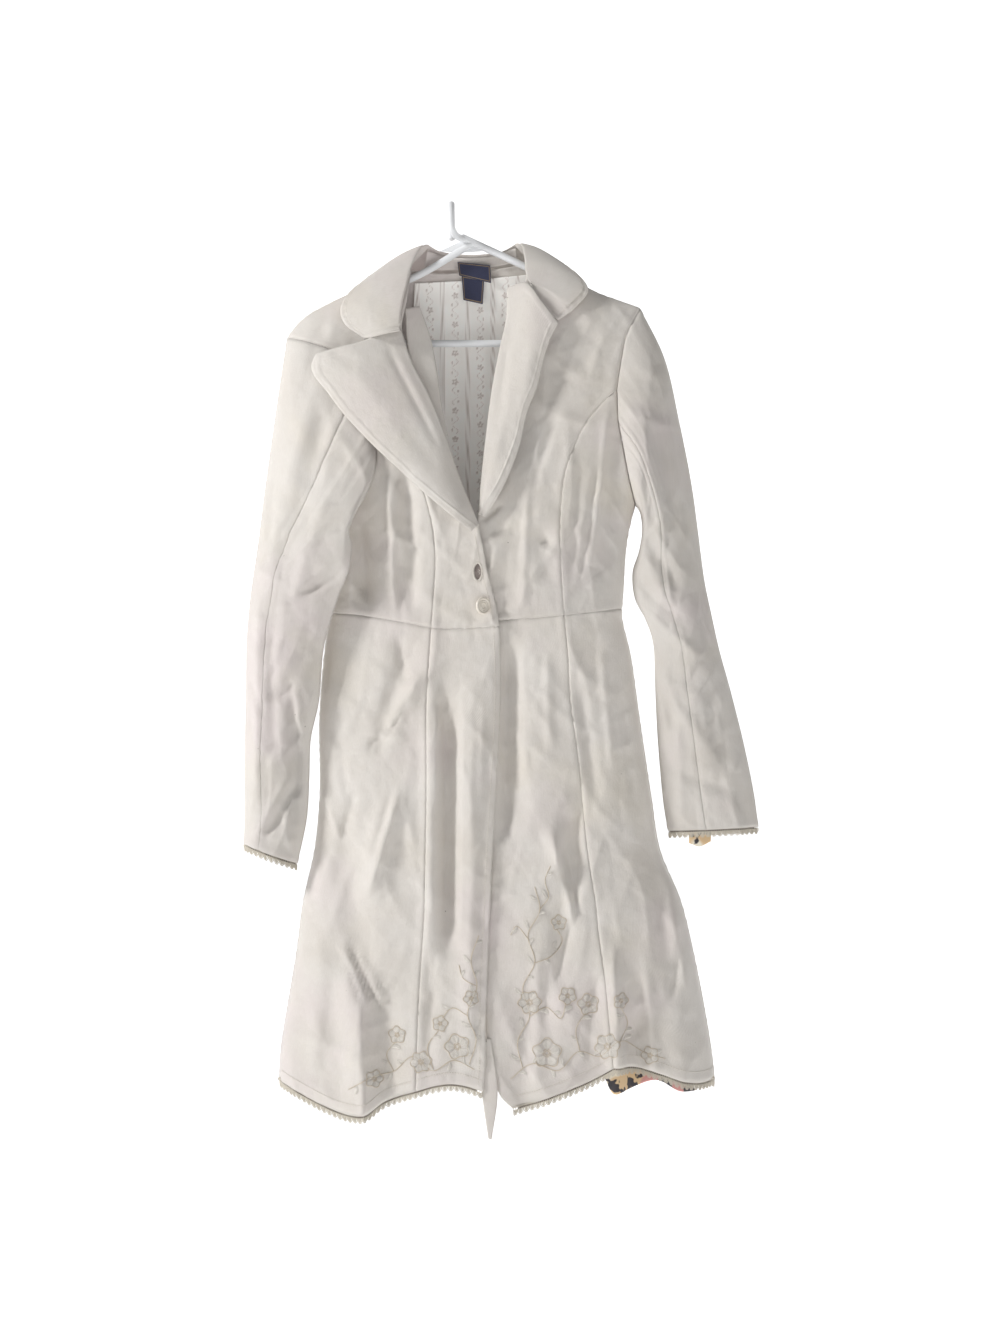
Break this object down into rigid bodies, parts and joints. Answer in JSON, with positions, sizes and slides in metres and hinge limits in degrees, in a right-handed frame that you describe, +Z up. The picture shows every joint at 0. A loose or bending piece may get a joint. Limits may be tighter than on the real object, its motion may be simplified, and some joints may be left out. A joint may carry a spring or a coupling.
{
  "type": "coat on a hanger",
  "caption": "Long fitted cotton coat with notched collar, lapels, waist seam and flared gored skirt with lace hem, hanging open-necked on a tubular plastic hanger.",
  "frame": {"origin": "inside the top of the hanger's hook, where the rail bears", "axes": "+Z up along the hang of the coat, the coat's front faces -Y, and +X is the wearer's left"},
  "size_m": [0.607, 0.1633, 1.0987],
  "materials": {
    "cotton": "matt cream cotton twill",
    "lining": "smooth printed cotton lining",
    "lace": "matt crochet cotton lace",
    "label": "woven navy label",
    "button": "satin bone colour",
    "hanger_plastic": "white moulded plastic"
  },
  "bodies": {
    "root": {"bodice_front_right": "cotton", "bodice_front_left": "cotton", "bodice_side_right": "cotton", "bodice_side_left": "cotton", "bodice_back_right": "cotton", "bodice_back_left": "cotton", "bodice_side_back_right": "cotton", "bodice_side_back_left": "cotton", "skirt_front_right": "cotton", "skirt_front_left": "cotton", "skirt_side_right": "cotton", "skirt_side_left": "cotton", "skirt_back_right": "cotton", "skirt_back_left": "cotton", "skirt_side_back_right": "cotton", "skirt_side_back_left": "cotton", "sleeve_right_top": "cotton", "sleeve_right_under": "cotton", "sleeve_left_top": "cotton", "sleeve_left_under": "cotton", "lapel_right": "cotton", "lapel_left": "cotton", "facing_right": "cotton", "front_facing_tip": "cotton", "collar_leaf": "cotton", "collar_stand": "cotton", "lining_back": "lining", "hem_lining_left": "lining", "cuff_lining_left": "lining", "hem_lace_right": "lace", "hem_lace_left": "lace", "hem_lace_back": "lace", "cuff_lace_right": "lace", "cuff_lace_left": "lace", "label_main": "label", "label_size": "label", "button_lower": "button", "hanger_frame": "hanger_plastic", "hanger_bar": "hanger_plastic"}
  },
  "joints": []
}
